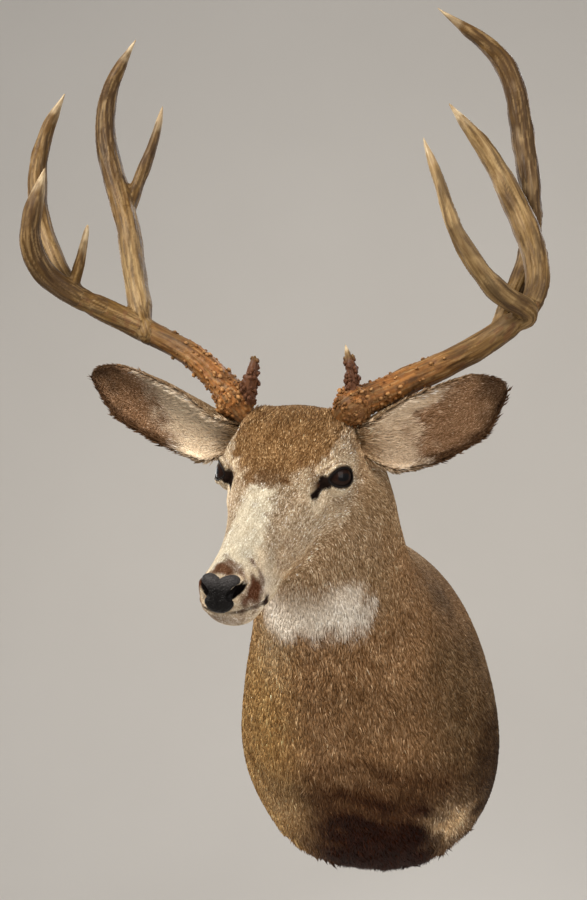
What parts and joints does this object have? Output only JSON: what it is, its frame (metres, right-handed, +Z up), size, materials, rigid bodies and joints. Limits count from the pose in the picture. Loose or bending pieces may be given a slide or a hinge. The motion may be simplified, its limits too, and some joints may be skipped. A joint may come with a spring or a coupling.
{
  "type": "mule deer shoulder mount",
  "caption": "Mule deer buck shoulder mount, head turned and lowered a little, with cupped ears and forked antlers, on an egg-shaped plywood back board with a sawtooth hanger.",
  "frame": {"origin": "on the wall plane, at the middle of the back board", "axes": "+Z up, +Y into the wall, -Y out into the room the way the animal looks, +X the animal's left"},
  "size_m": [0.6848, 0.6433, 1.1492],
  "materials": {
    "coat": "dense grey-brown winter hair, matt",
    "head_coat": "short hair, brown cap, pale muzzle, matt",
    "ear_coat": "fine short hair, pale and thin inside the cup",
    "antler": "bone-like antler, streaked olive brown, satin, rough and beaded at the base",
    "eye_glass": "dark brown glass eye, glossy",
    "nose_skin": "slate black pebbled skin, slightly moist",
    "plywood": "sanded birch plywood, bare",
    "steel": "zinc-plated strip"
  },
  "bodies": {
    "root": {"back_board": "plywood", "hanger": "steel", "trunk": "coat", "neck": "coat", "head": "head_coat", "nose": "nose_skin", "eye_left": "eye_glass", "eye_right": "eye_glass", "ear_left": "ear_coat", "ear_right": "ear_coat", "antler_left_beam": "antler", "antler_left_front_tine": "antler", "antler_left_upper_tine": "antler", "antler_left_rear_tine": "antler", "antler_left_brow_tine": "antler", "antler_right_beam": "antler", "antler_right_front_tine": "antler", "antler_right_upper_tine": "antler", "antler_right_small_tine": "antler", "antler_right_rear_tine": "antler", "antler_right_rear_branch": "antler", "antler_right_brow_tine": "antler"}
  },
  "joints": []
}
